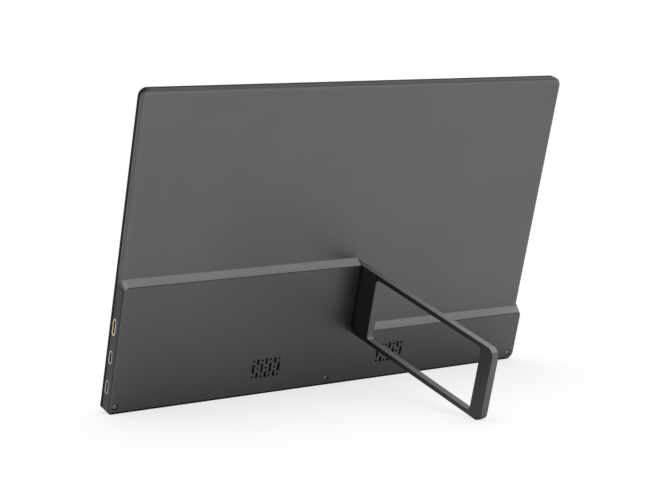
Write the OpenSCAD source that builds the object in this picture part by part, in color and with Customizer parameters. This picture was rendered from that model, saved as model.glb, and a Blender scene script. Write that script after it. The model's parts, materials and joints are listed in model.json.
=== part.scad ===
// Portable monitor: a slim screen body with a deeper L-shaped block low on its back, and a flat
// frame stand that swings out of a recess beside that block on an upright friction hinge.
//
// Panel axes, used by every module below: x runs across the back from the ports' side, y runs
// up the panel from its lower edge, z runs from the screen face to the back. stood() leans the
// finished pieces back onto the open stand, with +Z up and the screen facing -Y.

/* [Body] */
// Width of the body
body_w = 358; // [352:1:380]
// Height of the body
body_h = 228.3; // [226:0.1:250]
// Thickness of the slim upper part
slim_t = 8.7; // [8.4:0.1:9.4]
// Thickness of the block that holds the electronics
deep_t = 14.4; // [13.9:0.1:16]
// Radius of three of the body's corners
corner_r = 6; // [4.5:0.1:9]
// Radius of the lower corner on the ports' side
foot_corner_r = 1.0; // [0.9:0.1:6]
// Rounding of the slim part's back edge
edge_r = 3.4; // [1:0.1:4.2]
// Wall of the rear shell's skin
skin_t = 1.2; // [0.8:0.1:1.6]

/* [Screen] */
// Border beside the lit area
view_side = 6.9; // [6.7:0.1:12]
// Border above the lit area
view_top = 7.2; // [6.7:0.1:12]
// Border below the lit area
view_foot = 27.5; // [24:0.1:40]
// Thickness of the front bezel
bezel_t = 1.0; // [0.8:0.1:1.1]
// Rounding of the bezel's front edge
bezel_r = 0.7; // [0.3:0.1:0.7]
// Depth of the bezel's side wall, from the screen face
frame_depth = 3.5; // [2.5:0.1:3.5]
// Thickness of the bezel's side wall
frame_wall = 1.4; // [1:0.1:1.6]
// How far the screen module reaches past the lit area at the sides and top
module_side = 3.2; // [2.5:0.1:3.3]
// How far the screen module reaches below the lit area
module_foot = 12; // [8:0.1:13]

/* [Lower cover] */
// Height of the block's back face beside the hinge
block_h = 93.3; // [88:0.1:100]
// Height of the band that runs under the folded stand
band_h = 39.8; // [38:0.1:42]
// Distance from the ports' side to the block's wall beside the hinge
block_w = 193.2; // [188:0.1:200]
// How far the block's upper side slopes up the back
ledge_run = 3.9; // [3:0.1:4]
// Fillet between that slope and the back
ledge_fillet = 1.2; // [0.5:0.1:1.4]
// Thickness of the cover
cover_t = 1.8; // [1.2:0.1:1.8]
// Rounding of the cover's outer edge
cover_edge_r = 0.8; // [0.3:0.1:0.9]
// Open joint line around the cover
groove = 0.5; // [0.2:0.05:0.6]
// Depth of that joint line
groove_depth = 1.0; // [0.6:0.1:1.6]
// Radius of the cover's upper corners
cover_r = 4.0; // [1:0.1:5]
// Thickness of the block's side and lower walls
side_wall = 2.8; // [2.4:0.1:3]
// Thickness of the wall beside the hinge
hinge_wall = 3.0; // [2:0.1:4]
// Thickness of the wall under the slope, at the cover
ledge_wall = 2.0; // [1.6:0.1:3]

/* [Speaker grilles] */
// Distance between the two grilles
grille_span = 109.4; // [95:0.1:112]
// Height of the grilles' middle
grille_y = 20.4; // [19.5:0.1:21.5]
// How far the grilles and screws sit to the ports' side of the body's middle
feature_shift = 1.1; // [0:0.1:1.5]
// Distance between the grille's columns
column_pitch = 3.57; // [3:0.01:3.8]
// Number of columns, with long slots in the odd ones
columns = 7; // [3:2:7]
// Width of the slots and of the dots
slot_w = 1.8; // [1:0.1:2.2]
// Length of the long slots
long_slot = 7.4; // [5:0.1:8]
// Length of the middle-sized slots
short_slot = 4.9; // [3:0.1:5.5]
// Bridge between the long slots and their dots
slot_bridge = 1.55; // [1:0.05:1.7]
// Bridge between the short slots and the dot in their middle
short_bridge = 1.85; // [1:0.05:2]

/* [Stand] */
// Gap under the folded stand
fold_gap = 0.3; // [0.2:0.05:0.5]
// Running gap beside the stand's hinge barrel
hinge_gap = 0.3; // [0.2:0.05:0.5]
// Gap between the band and the stand's lower edge
stand_lift = 0.95; // [0.8:0.05:1.2]
// How far the stand's upper edge stands above the block's back face
stand_rise = 0.4; // [0:0.1:1]
// Space left beyond the end of the folded stand
stand_end = 5.4; // [4:0.1:12]
// Depth of the stand's solid root, from the cover's face to its window
root_w = 20; // [10:0.1:40]
// Width of the bar at the stand's far end
foot_bar = 12.7; // [8:0.1:30]
// Height of the stand's upper and lower rails
rail_h = 3.4; // [3.3:0.1:6]
// Outer corner radius of the stand
stand_r = 6; // [3:0.1:10]
// Corner radius of the stand's window
window_r = 3; // [1:0.1:6]

/* [Hinge] */
// Radius of the hinge pin
pin_r = 1.25; // [1:0.05:1.3]
// Radial running clearance of the pin in its bush
pin_gap = 0.05; // [0.02:0.01:0.1]
// Wall of the friction bush
bush_wall = 0.6; // [0.4:0.05:0.6]
// Length of the fixed lug between the stand's knuckles
lug_len = 18; // [12:0.5:24]
// Thickness of the hinge bracket
bracket_t = 1.2; // [0.8:0.1:1.4]
// How far the hinge bracket reaches into the block
bracket_reach = 36; // [30:1:60]
// Distance between the bracket's screws, along its reach
bracket_pitch = 18; // [12:1:20]

/* [Ports] */
// Height of the lower USB-C socket
usb_y = 17.3; // [16.5:0.1:18]
// Distance between neighbouring sockets
port_pitch = 22.2; // [20:0.1:22.5]
// Width of a USB-C socket's shell
usb_w = 8.94; // [8.8:0.01:9]
// Height of a USB-C socket's shell
usb_h = 3.26; // [3.2:0.01:3.3]
// Width of the mini HDMI socket's shell
hdmi_w = 11.2; // [11:0.1:11.4]
// Height of the mini HDMI socket's shell
hdmi_h = 3.3; // [3.2:0.1:3.4]
// Thickness of the sockets' sheet metal
socket_t = 0.3; // [0.2:0.05:0.4]
// Width of the collar around each USB-C socket
usb_collar = 0.5; // [0.3:0.05:0.6]
// Width of the collar around the HDMI socket
hdmi_collar = 0.7; // [0.4:0.05:0.8]

/* [Buttons] */
// Length of a button
key_len = 6; // [5:0.1:6.2]
// Width of a button
key_w = 2.2; // [1.8:0.1:2.6]
// How far a button stands out of the side
key_proud = 0.4; // [0.3:0.05:0.6]
// Travel of a button
key_travel = 0.4; // [0.2:0.05:0.4]
// Gap around a button
key_gap = 0.2; // [0.15:0.05:0.25]
// Distance between the buttons
key_pitch = 8.5; // [8.2:0.1:9]
// Height of the middle button
key_y = 23.5; // [22.5:0.1:24]

/* [Electronics] */
// Distance from the main board to the nearer speaker
board_gap = 11; // [8:0.5:30]
// Height of the main board
board_h = 67; // [64:1:68]
// Thickness of the circuit boards
board_t = 1.2; // [0.8:0.1:1.2]
// Width of a speaker
speaker_w = 34; // [30:1:38]
// Height of a speaker
speaker_h = 20; // [18:1:20]
// Side of the square processor under its shield
shield_w = 32; // [24:1:34]
// Depth of a speaker
speaker_t = 3.6; // [3:0.1:4]
// Thickness of the foam between a speaker and the cover
gasket_t = 1.0; // [0.5:0.1:1.2]

/* [Hidden] */
$fn = 48;
over = 1;                          // how far a cutter reaches past what it cuts

// Levels through the thickness, from the screen to the back
foam_t = 0.2;
foam_back = 0.5;                   // how far the foam stays clear of the lit area
cell_t = 1.1;
films_t = 0.3;
guide_t = 0.7;
reflector_t = 0.2;
tray_t = 0.4;
cell_z = bezel_t + foam_t;
films_z = cell_z + cell_t;
guide_z = films_z + films_t;
reflector_z = guide_z + guide_t;
tray_z = reflector_z + reflector_t;
tray_back = tray_z + tray_t;
floor_gap = 0.05;
floor_t = 0.8;
floor_z = tray_back + floor_gap + floor_t;     // floor of the electronics well
lid_z = deep_t - cover_t;                      // underside of the cover
socket_z = 6.0;                                // middle of the sockets
socket_mouth = 0.5;                            // how far the sockets sit in from the side
socket_len = 7.4;
collar_t = 0.9;
port_room = 2.2;                               // room beside the sockets in the well's floor
hdmi_y = usb_y + 2 * port_pitch;
board_z = socket_z + hdmi_h / 2;               // the sockets hang from the board's front
board_top = board_z + board_t;

// The screen module
module_gap = 0.2;
tray_wall = 0.5;
view = [view_side, view_foot, body_w - view_side, body_h - view_top];
module_x0 = view[0] - module_side;
module_x1 = view[2] + module_side;
module_y0 = view[1] - module_foot;
module_y1 = view[3] + module_side;
sheet_inset = tray_wall + module_gap;
led_room = 3;
led_count = 40;

// The cover and the well under it
ledge_slope = ledge_run / (deep_t - slim_t);
ledge_angle = atan2(deep_t - slim_t, ledge_run);
fillet_run = ledge_fillet * tan(ledge_angle / 2);
fillet_steps = 5;
block_z0 = slim_t - edge_r;
notch_drop = 2.6;                  // from the block's upper edge to the notch in its side
well_r = 3;
mid_x = body_w / 2 - feature_shift;
screw_inset = 4.6;
screw_y = 5.6;
screw_span = body_w / 2 - screw_inset;
screw_x = [mid_x - screw_span, mid_x, mid_x + screw_span];
screw_head_r = 1.9;
screw_head_h = 0.7;
screw_shank_r = 0.8;
screw_well_r = 2.35;
screw_well_depth = 0.9;
screw_len = 5;
screw_room = 0.3;                  // gap between a shank and the hole that it passes
drive_depth = 0.3;
drive_share = 0.45;                // width of a screw's drive as a share of its head
boss_r = 2.4;
small_gap = 0.15;
rib_t = 1.2;
rib_bays = [7, 3];                 // bays that the ribs divide the slim part into, across and up

// The hinge and the stand
stand_t = deep_t - slim_t - fold_gap;
hinge_x = block_w + hinge_gap + stand_t / 2;
hinge_z = deep_t - stand_t / 2;
stand_y0 = band_h + stand_lift;
stand_y1 = block_h + stand_rise;
stand_len = body_w - stand_end - hinge_x;      // from the hinge axis to the far end
window_a0 = root_w + stand_t / 2;
window_a1 = stand_len - foot_bar;
barrel_y0 = band_h + ledge_run + 0.5;          // the barrel starts above the band's slope
barrel_clear = stand_t / 2 + hinge_gap;
lug_y = (barrel_y0 + stand_y1) / 2;
lug_r = stand_t / 2 - 0.1;
bush_r = pin_r + pin_gap + bush_wall;
pin_y0 = barrel_y0;
pin_y1 = stand_y1 - 2;
chamfer_lift = 0.3;
bracket_lip = 2;
bracket_half = lug_len / 2 + bracket_lip;
bracket_x0 = hinge_x - bracket_reach;
bracket_x1 = block_w - hinge_wall - hinge_gap;
bracket_z0 = hinge_z - bracket_t;
bracket_margin = 4;
bracket_screw_r = 1.8;
bracket_screw_h = 0.5;
bracket_screw_len = 4;
bracket_holes = [[bracket_x0 + bracket_margin, lug_y - lug_len / 3],
                 [bracket_x0 + bracket_margin, lug_y + lug_len / 3],
                 [bracket_x0 + bracket_margin + bracket_pitch, lug_y]];

// The lean of the body when the stand's foot and the block's back edge share one floor
sole_r = 0.8;                                  // rounding of the block's lower back edge
foot_rise = stand_y0 + stand_r - sole_r;
foot_reach = hinge_z + stand_len - stand_r - deep_t + sole_r;
foot_diag = sqrt(foot_rise * foot_rise + foot_reach * foot_reach);
tilt = acos((stand_r - sole_r) / foot_diag) - atan2(foot_reach, foot_rise);
floor_drop = (deep_t - sole_r) * sin(tilt) - sole_r * cos(tilt) + sole_r;
back_reach = (hinge_z + stand_len - stand_r) * cos(tilt) + (stand_y1 - stand_r) * sin(tilt) + stand_r;
front_reach = bezel_r * (cos(tilt) + sin(tilt) - 1);
centre_y = (back_reach + front_reach) / 2;

// Electronics places
speaker_x = [mid_x - grille_span / 2, mid_x + grille_span / 2];
board_x0 = side_wall + 0.4;
board_y0 = 9;
board_w = speaker_x[0] - speaker_w / 2 - board_gap - board_x0;
chip_inset = 6;
chip_w = 12;
chip_t = 1;
driver_chip = [10, 6];
post_margin = 4;                   // from a post to the board's edge
port_margin = 16;                  // from the sockets' posts to that edge
board_posts = [for (x = [port_margin, board_w - post_margin],
                    y = [board_y0 + post_margin, board_y0 + board_h - post_margin]) [x, y]];
post_r = 2.2;
post_hole_r = 0.7;
board_screw_r = 1.6;
board_screw_len = 3;
ribbon_y = [42, 58];
ribbon_x = board_x0 + board_w + 3;
ribbon_t = 0.3;
ribbon_room = 0.5;
speaker_z = lid_z - gasket_t - speaker_t;
gasket_rim = 2;
mesh_t = 0.15;
guide_w = 4;                       // width of a guide that the long lead lies on
lead_w = 1.4;
lead_t = 0.7;
lead_y = grille_y + speaker_h / 2 + 2.4;
key_flange = 0.9;
key_flange_side = 0.7;
key_flange_t = 1.0;
key_wall_x = body_w - side_wall;               // inner side of the wall behind the buttons
key_back = key_wall_x - key_gap - key_flange_t;
plunger_gap = key_travel + 0.1;
plunger_t = 0.6;
switch_t = 1.0;
key_board_t = 1.0;
key_board_h = 5;
key_board_y = [key_y - key_pitch - 4.5, key_y + key_pitch + 4.5];
button_board_x = key_back - plunger_gap - plunger_t - switch_t - key_board_t;
button_lead_w = 1;
button_lead_t = 0.4;

// ---- placing -------------------------------------------------------------------------------

// Turns panel axes into the standing, leaning object, centred over its own footprint
module stood() {
    translate([body_w / 2 + key_proud / 2, -centre_y, floor_drop])
        rotate([-tilt, 0, 0])
            rotate([90, 0, 180])
                children();
}

// Extrudes a y-z outline along x
module along_x(x0, x1) {
    translate([x0, 0, 0]) rotate([90, 0, 90]) linear_extrude(x1 - x0) children();
}

// Extrudes an x-z outline along y
module along_y(y0, y1) {
    translate([0, y1, 0]) rotate([90, 0, 0]) linear_extrude(y1 - y0) children();
}

// Extrudes the stand's outline, drawn as distance from the hinge axis by height
module along_stand(t) {
    translate([hinge_x, 0, hinge_z]) rotate([0, -90, 0])
        translate([0, 0, -t / 2]) linear_extrude(t) children();
}

module level(z0, z1) {
    translate([0, 0, z0]) linear_extrude(z1 - z0) children();
}

module upright_rod(x, z, y0, y1, r) {
    translate([x, y1, z]) rotate([90, 0, 0]) cylinder(r = r, h = y1 - y0);
}

// ---- shapes --------------------------------------------------------------------------------

module rect(x0, y0, x1, y1) {
    translate([x0, y0]) square([x1 - x0, y1 - y0]);
}

// Rectangle with four round corners
module round_rect(x0, y0, x1, y1, r) {
    rect(x0 + r, y0, x1 - r, y1);
    rect(x0, y0 + r, x1, y1 - r);
    for (x = [x0 + r, x1 - r], y = [y0 + r, y1 - r]) translate([x, y]) circle(r);
}

// The body's outline, grown inwards by the given inset
module body_outline(inset) {
    round_rect(inset, inset, body_w - inset, body_h - inset, corner_r - inset);
    round_rect(inset, inset, body_w / 2, body_h / 2, max(foot_corner_r - inset, 0.1));
}

// Slot with round ends, length along y
module slot(len, w) {
    square([w, len - w], center = true);
    for (s = [-1, 1]) translate([0, s * (len - w) / 2]) circle(w / 2);
}

// Half disc that rounds an edge, flat side down
module edge_roll(a, z, e) {
    intersection() {
        translate([a, z]) circle(e);
        rect(a - e, z, a + e, z + e);
    }
}

// Plate whose top edge is rolled over by e all the way round
module rolled_plate(x0, y0, x1, y1, r, e, z0, z1) {
    level(z0, z1 - e) round_rect(x0, y0, x1, y1, r);
    level(z1 - e, z1) round_rect(x0 + e, y0 + e, x1 - e, y1 - e, r - e);
    along_x(x0 + r, x1 - r) for (y = [y0 + e, y1 - e]) edge_roll(y, z1 - e, e);
    along_y(y0 + r, y1 - r) for (x = [x0 + e, x1 - e]) edge_roll(x, z1 - e, e);
    for (x = [x0 + r, x1 - r], y = [y0 + r, y1 - r])
        translate([x, y, z1 - e]) rotate_extrude()
            intersection() {
                union() {
                    translate([r - e, 0]) circle(e);
                    square([r - e, e]);
                }
                square([r, e]);
            }
}

// Section of a plate that runs in from 0, its outer top edge rolled over by e
module rolled_section(len, e, z0, z1) {
    rect(0, z0, len, z1 - e);
    rect(e, z0, len, z1);
    translate([e, z1 - e]) circle(e);
}

// Plate of the body's outline whose top edge is rolled over by e, the rolls mitred at the foot corner
module body_plate(e, z0, z1) {
    rolled_plate(0, 0, body_w, body_h, corner_r, e, z0, z1);
    intersection() {
        along_x(0, body_w / 2) rolled_section(body_h / 2, e, z0, z1);
        along_y(0, body_h / 2) rolled_section(body_w / 2, e, z0, z1);
        level(z0, z1) round_rect(0, 0, body_w / 2, body_h / 2, foot_corner_r);
    }
}

// Screw with a low round head, its shank pointing to the screen
module screw(head_r, head_h, shank_r, len) {
    difference() {
        cylinder(r = head_r, h = head_h);
        translate([0, 0, head_h - drive_depth]) cylinder(r = head_r * drive_share, h = over, $fn = 6);
    }
    translate([0, 0, -len]) cylinder(r = shank_r, h = len);
}

// ---- screen stack --------------------------------------------------------------------------

module front_bezel() {
    color("#1b1c1e") stood() difference() {
        union() {
            translate([0, 0, bezel_t]) mirror([0, 0, 1]) body_plate(bezel_r, 0, bezel_t);
            level(bezel_t, frame_depth) difference() {
                body_outline(0);
                body_outline(frame_wall);
            }
        }
        level(-over, bezel_t + over) rect(view[0], view[1], view[2], view[3]);
    }
}

module bezel_foam() {
    color("#2a2a2a") stood() level(bezel_t, cell_z) difference() {
        rect(module_x0 + sheet_inset, module_y0 + sheet_inset,
             module_x1 - sheet_inset, module_y1 - sheet_inset);
        rect(view[0] - foam_back, view[1] - foam_back, view[2] + foam_back, view[3] + foam_back);
    }
}

module stack_sheet(z0, z1, foot = 0) {
    level(z0, z1)
        rect(module_x0 + sheet_inset, module_y0 + sheet_inset + foot,
             module_x1 - sheet_inset, module_y1 - sheet_inset);
}

module lcd_cell() {
    color("#0b0c10") stood() stack_sheet(cell_z, films_z);
}

module optical_films() {
    color("#e8ecf0") stood() stack_sheet(films_z, guide_z);
}

module light_guide() {
    color("#dfe9ea") stood() stack_sheet(guide_z, reflector_z, led_room);
}

module reflector_sheet() {
    color("#f6f6f4") stood() stack_sheet(reflector_z, tray_z);
}

module led_strip() {
    strip_t = 0.3;
    strip_inset = sheet_inset + 4;
    led_w = 2.4;
    led_y = module_y0 + sheet_inset;
    led_x0 = module_x0 + strip_inset + led_w;
    led_pitch = (module_x1 - strip_inset - 2 * led_w - led_x0) / (led_count - 1);
    color("#f3e9a8") stood() {
        along_x(module_x0 + strip_inset, module_x1 - strip_inset)
            rect(led_y, guide_z, led_y + strip_t, reflector_z);
        for (i = [0 : led_count - 1])
            translate([led_x0 + i * led_pitch, led_y + strip_t, guide_z])
                cube([led_w, led_room - strip_t - floor_gap, guide_t]);
    }
}

module panel_tray() {
    color("#b9bcc0") stood() difference() {
        level(cell_z, tray_back) rect(module_x0, module_y0, module_x1, module_y1);
        level(cell_z - over, tray_z)
            rect(module_x0 + tray_wall, module_y0 + tray_wall,
                 module_x1 - tray_wall, module_y1 - tray_wall);
    }
}

// ---- rear shell and cover ------------------------------------------------------------------

// Side view of the block: its back face reaches top, then slopes down to a fillet on the back
module block_profile(top, y0) {
    centre = [top + ledge_run + fillet_run, slim_t + ledge_fillet];
    polygon([[y0, block_z0], [centre[0], block_z0],
             for (i = [0 : fillet_steps])
                 let (a = -90 - i * ledge_angle / fillet_steps)
                     centre + ledge_fillet * [cos(a), sin(a)],
             [top, deep_t], [y0, deep_t]]);
}

// The block up to its sloping upper side, with that slope carried round the given upper corner
module block_solid(x0, x1, corner_x, top) {
    along_x(x0, x1) block_profile(top, 0);
    translate([corner_x, top - cover_r, 0]) rotate_extrude()
        block_profile(cover_r, 0);
    level(block_z0, deep_t) rect(min(x0, corner_x - cover_r), 0,
                                 max(x1, corner_x + cover_r), top - cover_r);
}

module block_shape() {
    intersection() {
        body_plate(cover_edge_r, frame_depth, deep_t);
        union() {
            block_solid(cover_r, block_w, cover_r, block_h);
            block_solid(block_w - over, body_w - cover_r, body_w - cover_r, band_h);
        }
    }
}

// Plan of the block and the band together, grown inwards by the given insets
module well_plan(inset, ledge_inset, hinge_inset, r) {
    round_rect(inset, inset, block_w - hinge_inset, block_h - ledge_inset, r);
    round_rect(inset, inset, body_w - inset, band_h - ledge_inset, r);
}

// Plan of the cover: the block's back face, its outer upper corners rounded, open past the sides
module cover_plan(ledge_inset) {
    block_top = block_h - ledge_inset;
    band_top = band_h - ledge_inset;
    intersection() {
        union() {
            round_rect(0, -cover_r, block_w + cover_r, block_top, cover_r);
            round_rect(0, -cover_r, body_w, band_top, cover_r);
            rect(-over, -over, block_w, block_top - cover_r);
            rect(-over, -over, body_w + over, band_top - cover_r);
        }
        union() {
            rect(-over, -over, block_w, block_h);
            rect(-over, -over, body_w + over, band_h);
        }
    }
}

// Stiffening ribs left standing inside the slim part
module back_ribs() {
    rib_z = tray_back + floor_gap;
    columns_gap = body_w / rib_bays[0];
    rows_gap = (body_h - block_h) / rib_bays[1];
    for (i = [1 : rib_bays[0] - 1])
        translate([i * columns_gap - rib_t / 2, band_h, rib_z])
            cube([rib_t, body_h - band_h, slim_t - rib_z - skin_t / 2]);
    for (i = [1 : rib_bays[1] - 1])
        translate([0, block_h + i * rows_gap, rib_z])
            cube([body_w, rib_t, slim_t - rib_z - skin_t / 2]);
}

module back_cavity() {
    side = corner_r;
    difference() {
        level(tray_back, slim_t - skin_t) {
            rect(side, block_h + ledge_run + ledge_wall, body_w - side, body_h - side);
            rect(block_w + ledge_wall, band_h + ledge_run + ledge_wall,
                 body_w - side, body_h - side);
        }
        back_ribs();
    }
}

module boss(x, y, r, z1) {
    translate([x, y, floor_z]) cylinder(r = r, h = z1 - floor_z);
}

// Room in the well's floor for the sockets' bodies
module port_window() {
    level(tray_back, floor_z + over)
        rect(side_wall, usb_y - usb_w / 2 - port_room, side_wall + socket_len,
             hdmi_y + hdmi_w / 2 + port_room);
}

module port_holes() {
    for (i = [0, 1]) port_cut(usb_y + i * port_pitch, usb_w + 2 * usb_collar, usb_h + 2 * usb_collar);
    port_cut(hdmi_y, hdmi_w + 2 * hdmi_collar, hdmi_h + 2 * hdmi_collar);
}

module port_cut(y, w, h) {
    along_x(-over, side_wall + over) translate([y, socket_z]) rotate(90)
        slot(w + 2 * floor_gap, h + 2 * floor_gap);
}

module key_cut(y) {
    along_x(key_wall_x - over, body_w + over)
        translate([y, socket_z]) rotate(90) slot(key_len + 2 * key_gap, key_w + 2 * key_gap);
}

module well_fittings() {
    intersection() {
        union() {
            for (x = screw_x) boss(x, screw_y, boss_r, lid_z - small_gap);
            for (p = board_posts) boss(board_x0 + p[0], p[1], post_r, board_z);
            for (p = bracket_holes) boss(p[0], p[1], boss_r, bracket_z0);
            for (x = speaker_x, s = [-1, 1])
                translate([x + s * speaker_w / 3 - rib_t / 2, grille_y - speaker_h / 2, floor_z])
                    cube([rib_t, speaker_h, speaker_z - floor_z]);
            for (i = [1 : 3])
                translate([speaker_x[0] + i * grille_span / 4 - guide_w / 2, lead_y, floor_z])
                    cube([guide_w, lead_w, board_top - floor_z]);
            for (y = [key_board_y[0] - key_board_t, key_board_y[1]])
                translate([button_board_x - key_board_t, y, floor_z])
                    cube([3 * key_board_t, key_board_t, key_board_h - key_board_t]);
        }
        level(floor_z - over, lid_z) round_rect(0, 0, body_w, body_h, corner_r);
    }
}

// Room for the cover, with the open joint line under its outer edge
module cover_seat() {
    level(lid_z, deep_t + over) cover_plan(0);
    level(lid_z - groove, deep_t + over) difference() {
        rect(-over, -over, body_w + over, block_h - cover_r);
        body_outline(groove_depth);
        rect(block_w, band_h - cover_r, body_w + over, block_h);
    }
}

// Short notch across each side, where the joint line under the slope runs out
module side_notches() {
    level(block_z0, deep_t) {
        rect(-over, block_h - notch_drop - groove, groove_depth, block_h - notch_drop);
        rect(body_w - groove_depth, band_h - notch_drop - groove, body_w + over, band_h - notch_drop);
    }
}

// Opening in the wall beside the hinge, through which the bracket is laid in
module bracket_slot() {
    level(bracket_z0 - hinge_gap, deep_t + over)
        rect(block_w - hinge_wall - over, lug_y - lug_len / 2 - hinge_gap,
             block_w + over, lug_y + lug_len / 2 + hinge_gap);
}

module rear_shell() {
    color("#5f6164") stood() difference() {
        union() {
            difference() {
                union() {
                    rolled_plate(0, 0, body_w, body_h, corner_r, edge_r, frame_depth, slim_t);
                    level(bezel_t, frame_depth) body_outline(frame_wall + small_gap);
                    level(frame_depth, block_z0) body_outline(0);
                    block_shape();
                }
                level(bezel_t - over, tray_back + floor_gap)
                    rect(module_x0 - module_gap, module_y0 - module_gap,
                         module_x1 + module_gap, module_y1 + module_gap);
                back_cavity();
                level(floor_z, deep_t + over)
                    well_plan(side_wall, ledge_wall, hinge_wall, well_r);
                cover_seat();
                side_notches();
                bracket_slot();
            }
            well_fittings();
        }
        port_window();
        port_holes();
        for (i = [-1 : 1]) key_cut(key_y + i * key_pitch);
        for (x = screw_x)
            translate([x, screw_y, lid_z - small_gap - screw_len])
                cylinder(r = screw_shank_r, h = screw_len + over);
        for (p = board_posts)
            translate([board_x0 + p[0], p[1], board_top - board_screw_len - small_gap])
                cylinder(r = post_hole_r, h = board_screw_len);
        for (p = bracket_holes)
            translate([p[0], p[1], bracket_z0 - bracket_screw_len])
                cylinder(r = screw_shank_r, h = bracket_screw_len + over);
        level(tray_back, floor_z + over)
            rect(ribbon_x - ribbon_room, ribbon_y[0] - ribbon_room,
                 ribbon_x + ribbon_t + ribbon_room, ribbon_y[1] + ribbon_room);
    }
}

// One grille: odd columns hold dot, long slot, dot; even ones short slot, dot, short slot
module grille(x) {
    dot_y = long_slot / 2 + slot_bridge + slot_w / 2;
    side_y = slot_w / 2 + short_bridge + short_slot / 2;
    for (i = [0 : columns - 1])
        translate([x + (i - (columns - 1) / 2) * column_pitch, grille_y])
            if (i % 2 == 0) {
                slot(long_slot, slot_w);
                for (s = [-1, 1]) translate([0, s * dot_y]) circle(slot_w / 2);
            } else {
                circle(slot_w / 2);
                for (s = [-1, 1]) translate([0, s * side_y]) slot(short_slot, slot_w);
            }
}

module lower_cover() {
    color("#5a5c5f") stood() difference() {
        intersection() {
            body_plate(cover_edge_r, lid_z, deep_t);
            level(lid_z - over, deep_t + over) cover_plan(groove);
        }
        level(lid_z - over, deep_t + over) for (x = speaker_x) grille(x);
        for (x = screw_x) {
            translate([x, screw_y, deep_t - screw_well_depth])
                cylinder(r = screw_well_r, h = screw_well_depth + over);
            translate([x, screw_y, lid_z - over])
                cylinder(r = screw_shank_r + screw_room, h = cover_t + over);
        }
    }
}

module cover_screws() {
    color("#3a3b3d") stood() for (x = screw_x)
        translate([x, screw_y, deep_t - screw_well_depth])
            screw(screw_head_r, screw_head_h, screw_shank_r, screw_len);
}

// ---- electronics ---------------------------------------------------------------------------

module main_board() {
    color("#1e5a3a") stood() {
        difference() {
            level(board_z, board_top)
                rect(board_x0, board_y0, board_x0 + board_w, board_y0 + board_h);
            for (p = board_posts)
                translate([board_x0 + p[0], p[1], board_z - over])
                    cylinder(r = post_hole_r + screw_room, h = board_t + 2 * over);
        }
        level(board_top, board_top + chip_t) {
            translate([board_x0 + board_w - chip_inset - chip_w, ribbon_y[0] - chip_inset - chip_w])
                square(chip_w);
            translate([board_x0 + board_w - chip_inset - chip_w, ribbon_y[1] + chip_inset])
                square(driver_chip);
        }
    }
}

module board_screws() {
    color("#b4b6b8") stood() for (p = board_posts)
        translate([board_x0 + p[0], p[1], board_top])
            screw(board_screw_r, screw_head_h, post_hole_r, board_screw_len);
}

module shield_can() {
    can_t = 1.8;
    can_skin = 0.2;
    color("#c4c7ca") stood()
        translate([board_x0 + board_posts[0][0] + chip_inset, ribbon_y[0] - chip_inset, board_top])
            difference() {
                cube([shield_w, shield_w, can_t]);
                translate([can_skin, can_skin, -over])
                    cube([shield_w - 2 * can_skin, shield_w - 2 * can_skin, can_t - can_skin + over]);
            }
}

module display_ribbon() {
    landing = ribbon_x - 11;
    color("#d9a441") stood() along_y(ribbon_y[0], ribbon_y[1])
        polygon([[landing, board_top], [ribbon_x, board_top],
                 [ribbon_x, tray_back], [ribbon_x + ribbon_t, tray_back],
                 [ribbon_x + ribbon_t, board_top + ribbon_t],
                 [landing, board_top + ribbon_t]]);
}

// Mouth outline of the mini HDMI socket, with its two lower corners cut off
module hdmi_outline(w, h) {
    cut = h / 2;
    polygon([[-w / 2, h / 2], [w / 2, h / 2], [w / 2, 0], [w / 2 - cut, -h / 2],
             [-w / 2 + cut, -h / 2], [-w / 2, 0]]);
}

module hdmi_socket() {
    tongue_w = hdmi_w - 4;
    tongue_t = 0.6;
    tongue_x = socket_mouth + 1.4;
    color("#c9a04e") stood() {
        difference() {
            union() {
                along_x(socket_mouth, socket_mouth + socket_len) translate([hdmi_y, socket_z])
                    hdmi_outline(hdmi_w, hdmi_h);
                along_x(socket_mouth, socket_mouth + collar_t) translate([hdmi_y, socket_z]) rotate(90)
                    slot(hdmi_w + 2 * hdmi_collar, hdmi_h + 2 * hdmi_collar);
            }
            along_x(socket_mouth - over, socket_mouth + socket_len - socket_t)
                translate([hdmi_y, socket_z])
                    hdmi_outline(hdmi_w - 2 * socket_t, hdmi_h - 2 * socket_t);
        }
        along_x(tongue_x, socket_mouth + socket_len) translate([hdmi_y, socket_z])
            square([tongue_w, tongue_t], center = true);
    }
}

module usb_c_sockets() {
    tongue_w = usb_w - 2.2;
    tongue_t = 0.7;
    tongue_x = socket_mouth + 1;
    foot_x = socket_mouth + 2.5;
    foot_w = 4;
    color("#b9bcc0") stood() for (i = [0, 1]) {
        y = usb_y + i * port_pitch;
        difference() {
            union() {
                along_x(socket_mouth, socket_mouth + socket_len) translate([y, socket_z]) rotate(90)
                    slot(usb_w, usb_h);
                along_x(socket_mouth, socket_mouth + collar_t) translate([y, socket_z]) rotate(90)
                    slot(usb_w + 2 * usb_collar, usb_h + 2 * usb_collar);
                along_x(foot_x, socket_mouth + socket_len)
                    rect(y - foot_w / 2, socket_z, y + foot_w / 2, board_z);
            }
            along_x(socket_mouth - over, socket_mouth + socket_len - socket_t)
                translate([y, socket_z]) rotate(90)
                    slot(usb_w - 2 * socket_t, usb_h - 2 * socket_t);
        }
        along_x(tongue_x, socket_mouth + socket_len) translate([y, socket_z])
            square([tongue_w, tongue_t], center = true);
    }
}

module speakers() {
    color("#26282a") stood() for (x = speaker_x)
        level(speaker_z, speaker_z + speaker_t)
            round_rect(x - speaker_w / 2, grille_y - speaker_h / 2,
                       x + speaker_w / 2, grille_y + speaker_h / 2, gasket_rim);
}

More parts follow.
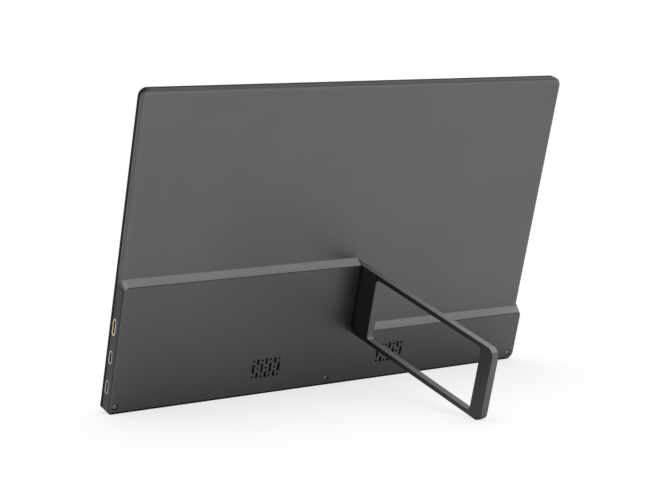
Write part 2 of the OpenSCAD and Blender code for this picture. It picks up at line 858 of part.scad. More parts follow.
module speaker_gaskets() {
    color("#1d1d1d") stood() for (x = speaker_x)
        level(lid_z - gasket_t, lid_z) difference() {
            rect(x - speaker_w / 2 + gasket_rim / 2, grille_y - speaker_h / 2 + gasket_rim / 4,
                 x + speaker_w / 2 - gasket_rim / 2, grille_y + speaker_h / 2 - gasket_rim / 4);
            rect(x - speaker_w / 2 + gasket_rim, grille_y - speaker_h / 2 + gasket_rim / 2,
                 x + speaker_w / 2 - gasket_rim, grille_y + speaker_h / 2 - gasket_rim / 2);
        }
}

module speaker_meshes() {
    color("#0c0c0c") stood() for (x = speaker_x)
        level(lid_z - mesh_t, lid_z)
            rect(x - speaker_w / 2 + gasket_rim, grille_y - speaker_h / 2 + gasket_rim / 2,
                 x + speaker_w / 2 - gasket_rim, grille_y + speaker_h / 2 - gasket_rim / 2);
}

// Flat twin leads: a short one to the near speaker, a long one over the guides to the far one
module speaker_leads() {
    start = board_x0 + board_w - 6;
    short_y = grille_y + 2;
    color("#7a2f2f") stood() level(board_top, board_top + lead_t) {
        rect(start, short_y, speaker_x[0] - speaker_w / 2, short_y + lead_w);
        rect(start, lead_y, speaker_x[1] + lead_w, lead_y + lead_w);
        rect(speaker_x[1], grille_y + speaker_h / 2, speaker_x[1] + lead_w, lead_y + lead_w);
    }
}

module button_board() {
    switch_w = 3.6;
    switch_lift = 0.6;
    plunger_r = 0.9;
    switch_x = button_board_x + key_board_t;
    plunger_x = switch_x + switch_t;
    color("#1e5a3a") stood() {
        along_x(button_board_x, switch_x)
            rect(key_board_y[0], floor_z, key_board_y[1], floor_z + key_board_h);
        for (i = [-1 : 1]) translate([0, key_y + i * key_pitch, 0]) {
            along_x(switch_x, plunger_x)
                translate([0, socket_z + switch_lift]) square(switch_w, center = true);
            along_x(plunger_x, plunger_x + plunger_t) translate([0, socket_z]) circle(plunger_r);
        }
    }
}

module button_lead() {
    lead_x = board_x0 + board_w - gasket_rim;
    y0 = screw_y + boss_r + screw_room;
    color("#c8c8c4") stood() along_y(y0, y0 + button_lead_w)
        polygon([[lead_x, floor_z], [button_board_x, floor_z],
                 [button_board_x, floor_z + button_lead_t], [lead_x + button_lead_t, floor_z + button_lead_t],
                 [lead_x + button_lead_t, board_z], [lead_x, board_z]]);
}

// ---- hinge and stand -----------------------------------------------------------------------

module hinge_bracket() {
    color("#9a9da1") stood() difference() {
        union() {
            level(bracket_z0, bracket_z0 + bracket_t) {
                rect(bracket_x0, lug_y - bracket_half, bracket_x1, lug_y + bracket_half);
                rect(bracket_x1 - over, lug_y - lug_len / 2, hinge_x, lug_y + lug_len / 2);
            }
            upright_rod(hinge_x, hinge_z, lug_y - lug_len / 2, lug_y + lug_len / 2, lug_r);
        }
        upright_rod(hinge_x, hinge_z, lug_y - lug_len, lug_y + lug_len, bush_r);
        for (p = bracket_holes)
            translate([p[0], p[1], bracket_z0 - over])
                cylinder(r = screw_shank_r + screw_room, h = bracket_t + 2 * over);
    }
}

module bracket_screws() {
    color("#b4b6b8") stood() for (p = bracket_holes)
        translate([p[0], p[1], bracket_z0 + bracket_t])
            screw(bracket_screw_r, bracket_screw_h, screw_shank_r, bracket_screw_len);
}

module friction_bush() {
    color("#b08d57") stood() difference() {
        upright_rod(hinge_x, hinge_z, lug_y - lug_len / 2, lug_y + lug_len / 2, bush_r);
        upright_rod(hinge_x, hinge_z, lug_y - lug_len, lug_y + lug_len, pin_r + pin_gap);
    }
}

module hinge_pin() {
    color("#c8cacc") stood() upright_rod(hinge_x, hinge_z, pin_y0, pin_y1, pin_r);
}

// Outline of the stand: distance from the hinge axis across, height up
module stand_outline() {
    difference() {
        union() {
            rect(0, stand_y0, stand_len - stand_r, stand_y1);
            rect(0, stand_y0 + stand_r, stand_len, stand_y1 - stand_r);
            for (y = [stand_y0 + stand_r, stand_y1 - stand_r])
                translate([stand_len - stand_r, y]) circle(stand_r);
        }
        rect(-over, stand_y0 - over, barrel_clear, barrel_y0);
        round_rect(window_a0, stand_y0 + rail_h, window_a1, stand_y1 - rail_h, window_r);
    }
}

// Height of the folded stand's lower side at offset s from its middle plane
function chamfer_y(s) = band_h + chamfer_lift + ledge_slope * (stand_t / 2 + s);

module stand_frame() {
    far = stand_t / 2 + over;
    color("#47494b") stood() difference() {
        union() {
            along_stand(stand_t) stand_outline();
            upright_rod(hinge_x, hinge_z, barrel_y0, stand_y1, stand_t / 2);
        }
        upright_rod(hinge_x, hinge_z, lug_y - lug_len / 2 - hinge_gap,
                    lug_y + lug_len / 2 + hinge_gap, barrel_clear);
        upright_rod(hinge_x, hinge_z, barrel_y0 - over, pin_y1, pin_r);
        translate([hinge_x, 0, hinge_z]) linear_extrude(stand_len + over)
            polygon([[-far, chamfer_y(-far)], [far, chamfer_y(far)],
                     [far, stand_y0 - stand_r], [-far, stand_y0 - stand_r]]);
    }
}

// ---- buttons -------------------------------------------------------------------------------

// Button with a flange behind the wall, cut off above the floor of the well
module side_key(i) {
    y = key_y + i * key_pitch;
    color("#2c2d2f") stood() {
        along_x(key_back, body_w + key_proud) translate([y, socket_z]) rotate(90)
            slot(key_len, key_w);
        along_x(key_back, key_back + key_flange_t)
            rect(y - key_len / 2 - key_flange_side, floor_z + small_gap,
                 y + key_len / 2 + key_flange_side, socket_z + key_w / 2 + key_flange);
    }
}

module power_button() { side_key(1); }
module menu_up_button() { side_key(0); }
module menu_down_button() { side_key(-1); }

// ---- nodes ---------------------------------------------------------------------------------

front_bezel();
bezel_foam();
lcd_cell();
optical_films();
light_guide();
reflector_sheet();
led_strip();
panel_tray();
rear_shell();
lower_cover();
cover_screws();
main_board();
board_screws();
shield_can();
display_ribbon();
hdmi_socket();
usb_c_sockets();
speakers();
speaker_gaskets();
speaker_meshes();
speaker_leads();
button_board();
button_lead();
hinge_bracket();
bracket_screws();
friction_bush();
hinge_pin();
stand_frame();
power_button();
menu_up_button();
menu_down_button();
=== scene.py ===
"""Portable monitor seen from behind, standing on its open swing-out stand.

Panel axes, as in the CAD source and in millimetres: x runs across the back from the ports' side,
y runs up the panel, z runs from the screen face to the back. The row frame is the CAD model's own.
"""
import json
import math

import bmesh
import bpy
from mathutils import Matrix, Vector
from mathutils.bvhtree import BVHTree


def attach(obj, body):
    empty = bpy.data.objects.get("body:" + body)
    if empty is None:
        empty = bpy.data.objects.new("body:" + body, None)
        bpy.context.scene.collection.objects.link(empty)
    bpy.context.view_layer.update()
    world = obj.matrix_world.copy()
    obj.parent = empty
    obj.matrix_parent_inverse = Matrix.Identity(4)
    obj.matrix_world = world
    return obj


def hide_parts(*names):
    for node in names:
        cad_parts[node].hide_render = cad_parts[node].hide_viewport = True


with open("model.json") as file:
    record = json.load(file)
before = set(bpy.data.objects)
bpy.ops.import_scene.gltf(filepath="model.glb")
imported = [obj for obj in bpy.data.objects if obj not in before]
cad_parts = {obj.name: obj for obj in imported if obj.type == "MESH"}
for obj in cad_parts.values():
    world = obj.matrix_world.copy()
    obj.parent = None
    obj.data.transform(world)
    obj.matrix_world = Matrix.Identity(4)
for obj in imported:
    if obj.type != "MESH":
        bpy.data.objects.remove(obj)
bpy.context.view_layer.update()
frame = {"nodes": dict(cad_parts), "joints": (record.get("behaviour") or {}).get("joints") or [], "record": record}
nodes = frame["nodes"]
body_of = {node: body for body, members in frame["record"]["behaviour"]["bodies"].items()
           for node in members}

# ---- panel axes to the row frame, in millimetres -----------------------------------------------

MM = 0.001
BODY_W = 358.0
FLOOR_DROP = 3.6116                # how far the panel's lower front edge stands above the floor
CENTRE_Y = 92.8195                 # from that edge back to the middle of the footprint
KEY_PROUD = 0.4                    # how far the keys stand out of the side wall

hinge = next(j for j in frame["joints"] if j["name"] == "stand_swing")
LEAN = math.atan2(hinge["axis"][1], hinge["axis"][2])

PANEL = (Matrix.Translation(Vector((BODY_W / 2 + KEY_PROUD / 2, -CENTRE_Y, FLOOR_DROP)) * MM)
         @ Matrix.Rotation(-LEAN, 4, "X")
         @ Matrix.Rotation(math.radians(180), 4, "Z") @ Matrix.Rotation(math.radians(90), 4, "X"))


def panel(x, y, z):
    """Row-frame point, in metres, of a point given in panel millimetres."""
    return PANEL @ (Vector((x, y, z)) * MM)


# ---- camera ------------------------------------------------------------------------------------

SENSOR = 36.0
NEAR_CLIP = 0.05
IMAGE_W = 660
FOCAL_PX = 1855.0                  # focal length, in pixels of the photograph's frame
CAMERA_AT = (-585.91, 553.35, 1000.19)
CAMERA_TURN = (0.38225694, -0.61400334, 0.04179084)    # rotation vector, in radians


def make_camera():
    """Camera at the photograph's place, fitted in panel axes."""
    data = bpy.data.cameras.new("camera")
    data.sensor_width = SENSOR
    data.lens = FOCAL_PX / IMAGE_W * SENSOR
    data.clip_start = NEAR_CLIP
    turn = Vector(CAMERA_TURN)
    view = Matrix.Rotation(turn.length, 3, turn.normalized())
    flip = Matrix.Diagonal((1, -1, -1))
    world_from_camera = PANEL.to_3x3() @ (flip @ view @ flip).transposed()
    cam = bpy.data.objects.new("camera", data)
    bpy.context.scene.collection.objects.link(cam)
    cam.matrix_world = Matrix.Translation(panel(*CAMERA_AT)) @ world_from_camera.to_4x4()
    bpy.context.scene.camera = cam


# ---- node trees --------------------------------------------------------------------------------

def srgb(r, g, b):
    """Linear colour of an sRGB colour given from 0 to 255."""
    def linear(c):
        c /= 255
        return c / 12.92 if c <= 0.04045 else ((c + 0.055) / 1.055) ** 2.4
    return (linear(r), linear(g), linear(b), 1.0)


def shade(colour, factor):
    """The colour, lighter or darker by a factor."""
    return tuple(c * factor for c in colour[:3]) + (1.0,)


class Nodes:
    """Short calls for building a node tree."""

    def __init__(self, tree):
        self.tree = tree

    def node(self, kind, inputs=None, **settings):
        n = self.tree.nodes.new(kind)
        for key, value in settings.items():
            setattr(n, key, value)
        for key, value in (inputs or {}).items():
            self.set(n.inputs[key], value)
        return n

    def set(self, socket, value):
        if isinstance(value, bpy.types.NodeSocket):
            self.tree.links.new(value, socket)
        else:
            socket.default_value = value

    def calc(self, operation, *values):
        n = self.node("ShaderNodeMath", operation=operation)
        for socket, value in zip(n.inputs, values):
            self.set(socket, value)
        return n.outputs[0]

    def both(self, *masks):
        """1 where every mask is 1."""
        total = masks[0]
        for mask in masks[1:]:
            total = self.calc("MULTIPLY", total, mask)
        return total

    def either(self, *masks):
        """1 where any mask is 1."""
        total = masks[0]
        for mask in masks[1:]:
            total = self.calc("MAXIMUM", total, mask)
        return total

    def opposite(self, mask):
        return self.calc("SUBTRACT", 1.0, mask)

    def spread(self, value, low, high, span):
        """From low to high, as the value goes from the span's start to its end."""
        start, end = span
        return self.node("ShaderNodeMapRange", {"Value": value, "From Min": start, "From Max": end,
                                                "To Min": low, "To Max": high}).outputs[0]

    def above(self, value, span):
        return self.spread(value, 0, 1, span)

    def below(self, value, span):
        return self.spread(value, 1, 0, span)

    def ray_kinds(self):
        """1 for the camera's own rays, and 1 for rays mirrored or let through by a piece."""
        rays = self.node("ShaderNodeLightPath").outputs
        return rays["Is Camera Ray"], self.either(rays["Is Glossy Ray"], rays["Is Transmission Ray"])


PATTERN_SPAN = (0.3, 0.7)          # most of a noise's values lie in here
BUMP_DEEP = 0.00002                # metres that a bump of strength 1 stands for


class Material(Nodes):
    """A new material, with short calls for its patterns and places."""

    def __init__(self, name):
        self.mat = bpy.data.materials.new(name)
        self.mat.use_nodes = True
        super().__init__(self.mat.node_tree)
        self.shader = self.tree.nodes["Principled BSDF"]
        self.coord = self.node("ShaderNodeTexCoord").outputs["Object"]

    def noise(self, scale, detail=2.0, rough=0.5, stretch=(1, 1, 1)):
        place = self.node("ShaderNodeMapping", {"Vector": self.coord, "Scale": stretch})
        return self.node("ShaderNodeTexNoise", {"Vector": place.outputs[0], "Scale": scale,
                                                "Detail": detail, "Roughness": rough}).outputs[0]

    def vary(self, pattern, low, high):
        """From low to high, as the pattern goes."""
        return self.spread(pattern, low, high, PATTERN_SPAN)

    def blend(self, factor, a, b):
        n = self.node("ShaderNodeMix", data_type="RGBA")
        self.set(n.inputs["Factor"], factor)
        self.set(n.inputs[6], a)
        self.set(n.inputs[7], b)
        return n.outputs[2]

    def mottle(self, pattern, colour, low, high):
        """The colour, from low to high times as light as the pattern goes."""
        return self.blend(self.vary(pattern, 0, 1), shade(colour, low), shade(colour, high))

    def times(self, colour, factor):
        return self.node("ShaderNodeVectorMath", {0: colour, "Scale": factor},
                         operation="SCALE").outputs[0]

    def tint(self, level, mask, tone):
        """The level, times the tone where the mask is 1."""
        return self.calc("MULTIPLY", level, self.calc("MULTIPLY_ADD", mask, tone - 1, 1.0))

    def place(self):
        """Panel x, y and z of the shaded point, in millimetres."""
        to_panel = PANEL.inverted()
        turned = self.node("ShaderNodeMapping", {
            "Vector": self.coord, "Scale": (1 / MM,) * 3, "Rotation": to_panel.to_euler(),
            "Location": to_panel.translation / MM}, vector_type="POINT")
        return self.node("ShaderNodeSeparateXYZ", {0: turned.outputs[0]}).outputs

    def facing(self):
        """Panel x, y and z of the direction that the surface faces."""
        normal = self.node("ShaderNodeTexCoord").outputs["Normal"]
        turned = self.node("ShaderNodeMapping", {
            "Vector": normal, "Rotation": PANEL.inverted().to_euler()}, vector_type="VECTOR")
        return self.node("ShaderNodeSeparateXYZ", {0: turned.outputs[0]}).outputs

    def bump(self, height, strength):
        return self.node("ShaderNodeBump", {"Height": height, "Strength": strength,
                                            "Distance": BUMP_DEEP}).outputs[0]

    def done(self, **inputs):
        for key, value in inputs.items():
            self.set(self.shader.inputs[key.replace("_", " ")], value)
        return self.mat


# ---- shell finish, with painted light and shade ------------------------------------------------

# Each tone is painted light or shade: how light a region of the shell is painted against its plain back, chosen
# against the photo.
SIDE_WALL_PAINTED_SHADE = 0.29                   # painted shade on the deep part's side walls
SLIM_WALL_PAINTED_SHADE = 0.75                   # painted shade on the slim part's side walls
STAND_SIDE_PAINTED_SHADE = 0.5                   # painted shade on the stand's sides
COVER_PAINTED_SHADE = 0.86                  # painted shade on the lower cover's outer face
UPPER_EDGE_PAINTED_LIGHT = 1.96                  # painted light on the edges that face up the panel
TOP_FACE_PAINTED_SHADE = 0.6                     # painted shade on the body's top face
ROLL_PAINTED_LIGHT = 1.12                   # painted light on the rolled edge below it
SHADE_LINES_AND_RIM_TONE = 0.12                   # a dark band on the top rim, and painted shade along the foot's edge, in the seam and in the screws' wells

# A region's edge is soft: the change runs between these two places, in panel millimetres.
SLIM_Y = (92, 100)                 # up to the slim part
HIGH_Y = (200, 205)                # up to the body's upper end
FOOT_Y = (1.3, 1.9)                # up from the painted shade along the foot's edge
SEAM_END_Y = (92, 93)              # up past the seam's end
RIM_Z = (5.5, 6.2)                 # back from the dark rim
COVER_Z = (12.4, 12.8)             # back to the lower cover's outer face
STAND_Z = (15, 18)                 # back to the open stand
SEAM_Z = 12.35                     # the seam between shell and lower cover
SEAM_AWAY = (0.2, 0.45)            # away from the seam's middle
SCREWS = ((3.5, 5.6), (177.9, 5.6), (352.3, 5.6))
WELL_AWAY = (2.3, 2.45)            # away from a screw's middle, out of its well

# The same for how far a surface faces a way, from 0 to 1.
FACES_SIDE = (0.7, 0.95)
FACES_UP = (0.55, 0.75)
FACES_BACK = (0.8, 0.95)
SEAM_FACES_SIDE = (0.5, 0.8)
RIM_FACES_UP = (0.1, 0.75)
ROLL_START = (0.08, 0.3)           # facing up enough to be on the rolled edge
ROLL_END = (0.6, 0.85)             # and too much to be on it

CLOUD = (14, 3)                    # noise scale and detail of the broad variation
CLOUD_TONES = (0.965, 1.035)
BLAST = (2600, 2, 0.6)             # noise scale, detail and roughness of the blasting's grain
BLAST_DARK = 0.9                   # how dark its pits are
BLAST_SHARE = 0.35                 # how much of that shows
BLAST_ROUGH = 0.03                 # how far roughness varies with it, up and down
BLAST_BUMP = 0.25
EDGE_ROUGHER = 0.12                # how much rougher the edges that face up are


def wall_painted_shade(m, y, sideways, on_stand):
    """How light side walls are painted, as painted shade: the slim part's more than the deep part's."""
    tone = m.calc("ADD", m.spread(y, SIDE_WALL_PAINTED_SHADE, SLIM_WALL_PAINTED_SHADE, SLIM_Y),
                  m.calc("MULTIPLY", on_stand, STAND_SIDE_PAINTED_SHADE - SIDE_WALL_PAINTED_SHADE))
    return m.calc("MULTIPLY_ADD", m.above(sideways, FACES_SIDE), m.calc("SUBTRACT", tone, 1.0), 1.0)


def well_shade_mask(m, x, y, screw):
    """1 in one screw's well, where shade is painted."""
    along, up = (m.calc("POWER", m.calc("SUBTRACT", value, middle), 2.0)
                 for value, middle in zip((x, y), screw))
    return m.below(m.calc("SQRT", m.calc("ADD", along, up)), WELL_AWAY)


def shade_lines_and_rim_mask(m, place, face_y, sideways, high):
    """1 where dark lines are painted: a dark band on the top rim, and painted shade along the foot's edge, in the
    seam and in the screws' wells.
    """
    x, y, z = place
    rim = m.both(m.below(z, RIM_Z), m.above(face_y, RIM_FACES_UP), high)
    from_seam = m.calc("ABSOLUTE", m.calc("SUBTRACT", z, SEAM_Z))
    seam = m.both(m.below(from_seam, SEAM_AWAY), m.above(sideways, SEAM_FACES_SIDE),
                  m.below(y, SEAM_END_Y))
    return m.either(rim, m.below(y, FOOT_Y), seam, *(well_shade_mask(m, x, y, s) for s in SCREWS))


def shell_painted_light(m):
    """Painted light and shade at each place on the shell, and the mask of the edges that face up."""
    place = m.place()
    x, y, z = place
    face_x, face_y, face_z = m.facing()
    sideways = m.calc("ABSOLUTE", face_x)
    high = m.above(y, HIGH_Y)
    upward = m.above(face_y, FACES_UP)
    on_stand = m.above(z, STAND_Z)
    edge = m.both(upward, m.opposite(high))
    roll = m.both(high, m.above(face_y, ROLL_START), m.below(face_y, ROLL_END))
    cover = m.both(m.above(z, COVER_Z), m.opposite(on_stand), m.above(face_z, FACES_BACK))
    level = wall_painted_shade(m, y, sideways, on_stand)
    # painted light on the upper and rolled edges, painted shade on the top face and cover, and the dark lines
    for mask, tone in ((edge, UPPER_EDGE_PAINTED_LIGHT), (m.both(upward, high), TOP_FACE_PAINTED_SHADE), (roll, ROLL_PAINTED_LIGHT),
                       (cover, COVER_PAINTED_SHADE),
                       (shade_lines_and_rim_mask(m, place, face_y, sideways, high), SHADE_LINES_AND_RIM_TONE)):
        level = m.tint(level, mask, tone)
    return level, edge


def anodised(name, colour, roughness):
    """Bead-blasted shell with painted light and shade: painted shade on the side walls, painted light on the upper
    edges, painted shade along the foot and in the wells, and a dark rim.
    """
    m = Material(name)
    blast = m.noise(*BLAST)
    tone = m.mottle(m.noise(*CLOUD), colour, *CLOUD_TONES)
    tone = m.blend(m.vary(blast, 0, BLAST_SHARE), tone, shade(colour, BLAST_DARK))
    level, edge = shell_painted_light(m)
    rough = m.vary(blast, roughness - BLAST_ROUGH, roughness + BLAST_ROUGH)
    return m.done(Base_Color=m.times(tone, level), Metallic=1.0,
                  Roughness=m.calc("MULTIPLY_ADD", edge, EDGE_ROUGHER, rough),
                  Normal=m.bump(blast, BLAST_BUMP))


# ---- other materials ---------------------------------------------------------------------------

RUB = (400, 3, 0.6, (1, 6, 1))     # noise scale, detail, roughness and stretch of rubbing marks
RUB_TONES = (0.85, 1.08)
RUB_SMOOTHER = 0.06                # how far roughness goes down and up with them
RUB_ROUGHER = 0.08
RUB_BUMP = 0.1
MOULD_FINE = (1800, 2, 0.6)        # noise scale, detail and roughness of moulded texture
MOULD_CLOUD = (30, 2)              # noise scale and detail of the broad variation on it
MOULD_TONES = (0.94, 1.06)
MOULD_ROUGH = 0.04                 # how far roughness varies, up and down
MOULD_BUMP = 0.15
PLASTIC_GLOSS = 0.5
SOCKET_INSIDE_X = (0.7, 1.2)       # into a socket, from its plated mouth to its inside, painted black as shade
# painted shade on a socket's inner walls, and the black of its plastic tongue
SOCKET_SHADE_AND_TONGUE_BLACK = srgb(10, 10, 10)


def rubbed(m, colour, roughness):
    """Pattern, colour and roughness of bright metal with faint rubbing marks."""
    rub = m.noise(*RUB)
    rough = m.vary(rub, roughness - RUB_SMOOTHER, roughness + RUB_ROUGHER)
    return rub, m.mottle(rub, colour, *RUB_TONES), rough


def plated(name, colour, roughness):
    """Bright metal with faint rubbing marks."""
    m = Material(name)
    rub, tone, rough = rubbed(m, colour, roughness)
    return m.done(Base_Color=tone, Metallic=1.0, Roughness=rough, Normal=m.bump(rub, RUB_BUMP))


def socket(name, colour, roughness):
    """Plated socket whose inner walls are painted black as painted shade, and whose tongue is painted black, as it
    is black plastic.
    """
    m = Material(name)
    _, tone, rough = rubbed(m, colour, roughness)
    inside = m.above(m.place()[0], SOCKET_INSIDE_X)
    return m.done(Base_Color=m.blend(inside, tone, SOCKET_SHADE_AND_TONGUE_BLACK), Metallic=m.opposite(inside),
                  Roughness=rough)


def moulded(name, colour, roughness, gloss=PLASTIC_GLOSS):
    """Moulded plastic with a faint texture."""
    m = Material(name)
    cloud = m.noise(*MOULD_CLOUD)
    return m.done(Base_Color=m.mottle(cloud, colour, *MOULD_TONES),
                  Roughness=m.vary(cloud, roughness - MOULD_ROUGH, roughness + MOULD_ROUGH),
                  Normal=m.bump(m.noise(*MOULD_FINE), MOULD_BUMP), Specular_IOR_Level=gloss)


LOOKS = {                          # by material slot: finish, sRGB colour, roughness, any gloss
    "shell": (anodised, (102, 102, 103), 0.42),
    "stand": (anodised, (100, 100, 101), 0.45),
    "bezel": (moulded, (14, 14, 15), 0.5, 0.06),
    "screen_glass": (moulded, (8, 8, 10), 0.12, 0.12),
    "button": (moulded, (52, 52, 54), 0.35),
    "black_screw": (plated, (146, 146, 149), 0.35),
    "steel": (plated, (178, 180, 183), 0.3),
    "gilt": (socket, (198, 190, 162), 0.3),
    "socket_metal": (socket, (190, 192, 195), 0.28),
    "black_plastic": (moulded, (28, 28, 29), 0.45),
    "mesh": (moulded, (8, 8, 8), 0.8),
    "foam": (moulded, (22, 22, 22), 0.9),
    "film": (moulded, (225, 228, 232), 0.3),
    "acrylic": (moulded, (215, 225, 226), 0.1),
    "led_flex": (moulded, (205, 160, 70), 0.45),
    "sheet_metal": (plated, (186, 188, 192), 0.35),
    "circuit_board": (moulded, (26, 84, 56), 0.35),
    "lead": (moulded, (120, 44, 40), 0.5),
    "bronze": (plated, (176, 141, 87), 0.35),
}


def make_materials():
    return {name: finish(name, srgb(*colour), *rest)
            for name, (finish, colour, *rest) in LOOKS.items()}


def dress_nodes(materials):
    """Every CAD node takes the material of its own slot in the record."""
    for obj in nodes.values():
        for i, old in enumerate(obj.data.materials):
            obj.data.materials[i] = materials[old.name.split(".")[0]]


# ---- CAD pieces with rounded edges -------------------------------------------------------------

ROUNDED = (                        # CAD nodes and how far their edges are rounded
    ("rear_shell", 0.12), ("lower_cover", 0.12), ("stand_frame", 0.25), ("front_bezel", 0.2),
    ("power_button", 0.1), ("menu_up_button", 0.1), ("menu_down_button", 0.1),
)
ROUND_STEPS = 2
STRAY = 0.5                        # share of a rounding that a corner may lie off the surface
WELD = 0.002                       # corners closer than this are one
FLAT = math.radians(0.6)           # neighbouring faces within this angle are one flat face
CREASE = math.radians(32)          # an edge sharper than this is rounded


def merged(name, old):
    """The CAD node's mesh with its corners welded and its flat faces joined."""
    mesh = bpy.data.meshes.new(name)
    bm = bmesh.new()
    bm.from_mesh(old)
    bmesh.ops.remove_doubles(bm, verts=bm.verts, dist=WELD * MM)
    bmesh.ops.dissolve_limit(bm, angle_limit=FLAT, verts=bm.verts, edges=bm.edges)
    bm.to_mesh(mesh)
    bm.free()
    if "custom_normal" in mesh.attributes:
        mesh.attributes.remove(mesh.attributes["custom_normal"])
    mesh.materials.append(old.materials[0])
    mesh.shade_smooth()
    return mesh


def put_back(mesh, old, reach):
    """Each corner that lies farther than reach from the CAD surface goes back onto it."""
    surface = BVHTree.FromPolygons([v.co for v in old.vertices], [p.vertices for p in old.polygons])
    for v in mesh.vertices:
        near, _, _, away = surface.find_nearest(v.co)
        if away > reach:
            v.co = near


def applied(piece):
    """The piece's mesh with its modifiers applied."""
    mesh = bpy.data.meshes.new_from_object(
        piece.evaluated_get(bpy.context.evaluated_depsgraph_get()))
    piece.modifiers.clear()
    return mesh


def soften(name, width):
    """The CAD node again as one smooth mesh whose sharp edges are rounded by width millimetres."""
    old = nodes[name].data
    piece = bpy.data.objects.new(name + "_rounded", merged(name + "_rounded", old))
    bpy.context.scene.collection.objects.link(piece)
    bevel = piece.modifiers.new("round", "BEVEL")
    bevel.width = width * MM
    bevel.segments = ROUND_STEPS
    bevel.limit_method = "ANGLE"
    bevel.angle_limit = CREASE
    bevel.use_clamp_overlap = False
    bevel.harden_normals = True
    piece.data = applied(piece)
    put_back(piece.data, old, STRAY * width * MM)
    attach(piece, body_of[name])
    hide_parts(name)


# ---- modelled pieces ---------------------------------------------------------------------------

def add_piece(name, verts, faces, material, body="monitor"):
    """A new piece from panel points and faces, riding a body, with the record's slot name."""
    mesh = bpy.data.meshes.new(name)
    mesh.from_pydata([panel(*v) for v in verts], [], faces)
    mesh.materials.append(materials[material])
    bm = bmesh.new()
    bm.from_mesh(mesh)
    bmesh.ops.recalc_face_normals(bm, faces=bm.faces)
    bm.to_mesh(mesh)
    bm.free()
    mesh.shade_smooth()
    piece = bpy.data.objects.new(name, mesh)
    bpy.context.scene.collection.objects.link(piece)
    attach(piece, body)
    return piece


def band(row, next_row, steps):
    """Faces between two closed rows of points."""
    return [(row * steps + i, row * steps + (i + 1) % steps,
             next_row * steps + (i + 1) % steps, next_row * steps + i) for i in range(steps)]


PORT_Z = 6.0                       # how far behind the screen face the sockets' middles lie
PORT_RIMS = (                      # name, panel y, outer length and height, rim's width, material
    ("usb_rim_1", 17.3, 9.9, 4.2, 0.7, "socket_metal"),
    ("usb_rim_2", 39.5, 9.9, 4.2, 0.7, "socket_metal"),
    ("hdmi_rim", 61.7, 12.5, 4.6, 1.15, "gilt"),
)
RIM_PROFILE = (                    # share of the rim's width inwards, and depth into the side wall
    (0, 0.55), (0, 0.3), (0.12, 0.1), (0.5, 0.06), (0.88, 0.12), (1, 0.3), (1, 0.55),
)
SLOT_END_STEPS = 12


def slot_outline(length, height, inset):
    """Points around a slot, long across the first of two axes, moved inwards by inset."""
    r = height / 2 - inset
    reach = (length - height) / 2
    points = []
    for side in (1, -1):
        for i in range(SLOT_END_STEPS + 1):
            turn = math.pi * (i / SLOT_END_STEPS - 0.5)
            points.append((side * (reach + r * math.cos(turn)), side * r * math.sin(turn)))
    return points


def port_rim(name, y, length, height, width, material):
    """Rounded metal lip around a socket's mouth, as a ring swept around a slot."""
    rows = [[(depth, y + a, PORT_Z + b) for a, b in slot_outline(length, height, share * width)]
            for share, depth in RIM_PROFILE]
    faces = []
    for row in range(len(rows)):
        faces += band(row, (row + 1) % len(rows), len(rows[0]))
    add_piece(name, sum(rows, []), faces, material)


HEAD_Z = 13.5                      # bottom of the screws' wells
HEAD_PROFILE = (                   # radius of a screw's head and height above the well's bottom
    (1.75, 0), (1.75, 0.3), (1.66, 0.5), (1.45, 0.63), (1.15, 0.7),
)
SHANK_R = 0.8
SHANK_LEN = 4.9
SHANK_SINK = 0.1                   # how far the shank reaches into the head
RECESS_ARM = 1.15                  # a cross recess's arm: length, half width, depth
RECESS_HALF = 0.3
RECESS_DEEP = 0.6
RECESS_TAPER = 0.8                 # its size at the bottom
CUTTER_PROUD = 1.0                 # how far its cutter stands above the head
TURN_STEPS = 40


def turned(profile, x, y, z):
    """Points and faces of a lathe shape about a line along panel z, flat at both ends."""
    verts = []
    for r, h in profile:
        for i in range(TURN_STEPS):
            turn = math.tau * i / TURN_STEPS
            verts.append((x + r * math.cos(turn), y + r * math.sin(turn), z + h))
    last = len(profile) - 1
    faces = []
    for row in range(last):
        faces += band(row, row + 1, TURN_STEPS)
    faces.append(tuple(range(last * TURN_STEPS, (last + 1) * TURN_STEPS)))
    faces.append(tuple(reversed(range(TURN_STEPS))))
    return verts, faces


def cross(x, y, top):
    """Points and faces of a cross-shaped cutter for a screw's recess."""
    a = RECESS_ARM
    w = RECESS_HALF
    plan = [(a, w), (w, w), (w, a), (-w, a), (-w, w), (-a, w), (-a, -w), (-w, -w), (-w, -a),
            (w, -a), (w, -w), (a, -w)]
    verts = [(x + u, y + v, top + CUTTER_PROUD) for u, v in plan]
    verts += [(x + u * RECESS_TAPER, y + v * RECESS_TAPER, top - RECESS_DEEP) for u, v in plan]
    n = len(plan)
    return verts, [tuple(range(n)), tuple(reversed(range(n, 2 * n)))] + band(0, 1, n)


def joined(parts):
    """One list of points and faces from several."""
    verts = []
    faces = []
    for more_verts, more_faces in parts:
        faces += [tuple(len(verts) + i for i in face) for face in more_faces]
        verts += more_verts
    return verts, faces


def cover_screws():
    """Pan-head screws with cross recesses, in place of the plain ones."""
    top = HEAD_Z + HEAD_PROFILE[-1][1]
    shank = ((SHANK_R, -SHANK_LEN), (SHANK_R, SHANK_SINK))
    lathed = [turned(profile, x, y, HEAD_Z) for profile in (HEAD_PROFILE, shank) for x, y in SCREWS]
    heads = add_piece("screw_heads", *joined(lathed), "black_screw")
    cutter = add_piece("cutter", *joined([cross(x, y, top) for x, y in SCREWS]), "black_screw")
    cut = heads.modifiers.new("recess", "BOOLEAN")
    cut.object = cutter
    cut.solver = "EXACT"
    cut.operation = "DIFFERENCE"
    heads.data = applied(heads)
    heads.data.shade_smooth()
    heads.data.set_sharp_from_angle(angle=CREASE)
    bpy.data.objects.remove(cutter)
    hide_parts("cover_screws")


# ---- floor and light ---------------------------------------------------------------------------

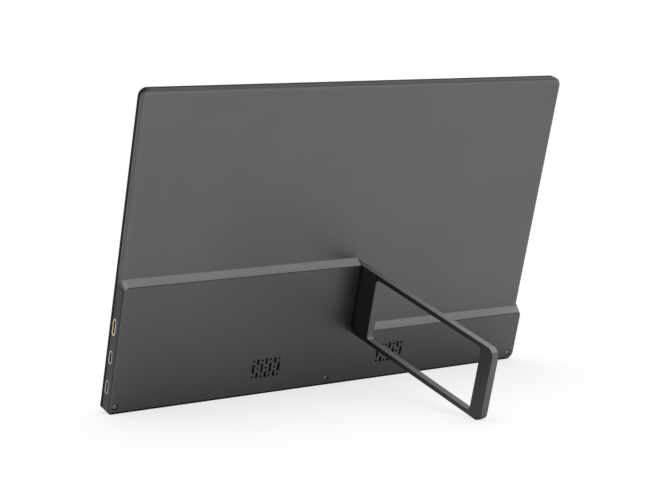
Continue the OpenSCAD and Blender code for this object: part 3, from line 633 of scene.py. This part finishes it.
FLOOR_HALF = 40.0                  # metres from the middle of the floor to its edge
FLOOR_TONE = 0.72                  # the floor's own colour
LIT_FLOOR = 0.93                   # lit level that the glow tops up to white; it is about 0.98
SEEN_SHADE = 0.32                  # share of its own shading that the camera sees on the floor
FLOOR_ROUGH = 0.9
SKY_LEVEL = 0.06                   # of the sky where no lobe lights it
SKY_LOBES = (                      # azimuth, elevation, sharpness and level of each soft light
    (0, 90, 1, 0.30),
    (0, 90, 10, 5.2),
    (158, 48, 8, 1.15),
    (226, 30, 8, 0.7),
)
WHITE = (1, 1, 1, 1)


def make_floor():
    """Pale floor, white to the camera and in mirroring pieces except for the object's shadow."""
    half = FLOOR_HALF
    mesh = bpy.data.meshes.new("floor")
    mesh.from_pydata([(-half, -half, 0), (half, -half, 0), (half, half, 0), (-half, half, 0)], [],
                     [(0, 1, 2, 3)])
    floor = bpy.data.objects.new("floor", mesh)
    bpy.context.scene.collection.objects.link(floor)
    m = Material("floor")
    seen, mirrored = m.ray_kinds()
    lit = shade(WHITE, FLOOR_TONE)
    glow = m.calc("MULTIPLY_ADD", seen, 1.0 - SEEN_SHADE * LIT_FLOOR,
                  m.calc("MULTIPLY", mirrored, 1.0 - LIT_FLOOR))
    mesh.materials.append(m.done(
        Base_Color=m.blend(seen, lit, shade(lit, SEEN_SHADE)), Roughness=FLOOR_ROUGH,
        Emission_Color=WHITE, Emission_Strength=glow, Specular_IOR_Level=0.0))


def toward(azimuth, elevation):
    """Unit vector of a direction given in degrees."""
    a = math.radians(azimuth)
    e = math.radians(elevation)
    return Vector((math.cos(e) * math.cos(a), math.cos(e) * math.sin(a), math.sin(e)))


def make_light():
    """Soft studio light as a sky of broad lobes, white to the camera and in mirroring pieces."""
    world = bpy.data.worlds.new("world")
    bpy.context.scene.world = world
    world.use_nodes = True
    m = Nodes(world.node_tree)
    direction = m.node("ShaderNodeTexCoord").outputs["Generated"]
    total = SKY_LEVEL
    for azimuth, elevation, sharpness, level in SKY_LOBES:
        dot = m.node("ShaderNodeVectorMath", {0: direction, 1: toward(azimuth, elevation)},
                     operation="DOT_PRODUCT").outputs["Value"]
        lobe = m.calc("POWER", m.calc("MAXIMUM", dot, 0.0), sharpness)
        total = m.calc("MULTIPLY_ADD", lobe, level, total)
    seen = m.either(*m.ray_kinds())
    background = m.tree.nodes["Background"]
    m.set(background.inputs["Color"], WHITE)
    m.set(background.inputs["Strength"],
          m.calc("ADD", m.calc("MULTIPLY", m.opposite(seen), total), seen))


make_camera()
materials = make_materials()
dress_nodes(materials)
for name, width in ROUNDED:
    soften(name, width)
for rim in PORT_RIMS:
    port_rim(*rim)
cover_screws()
make_floor()
make_light()

bpy.context.scene.view_settings.view_transform = "Standard"
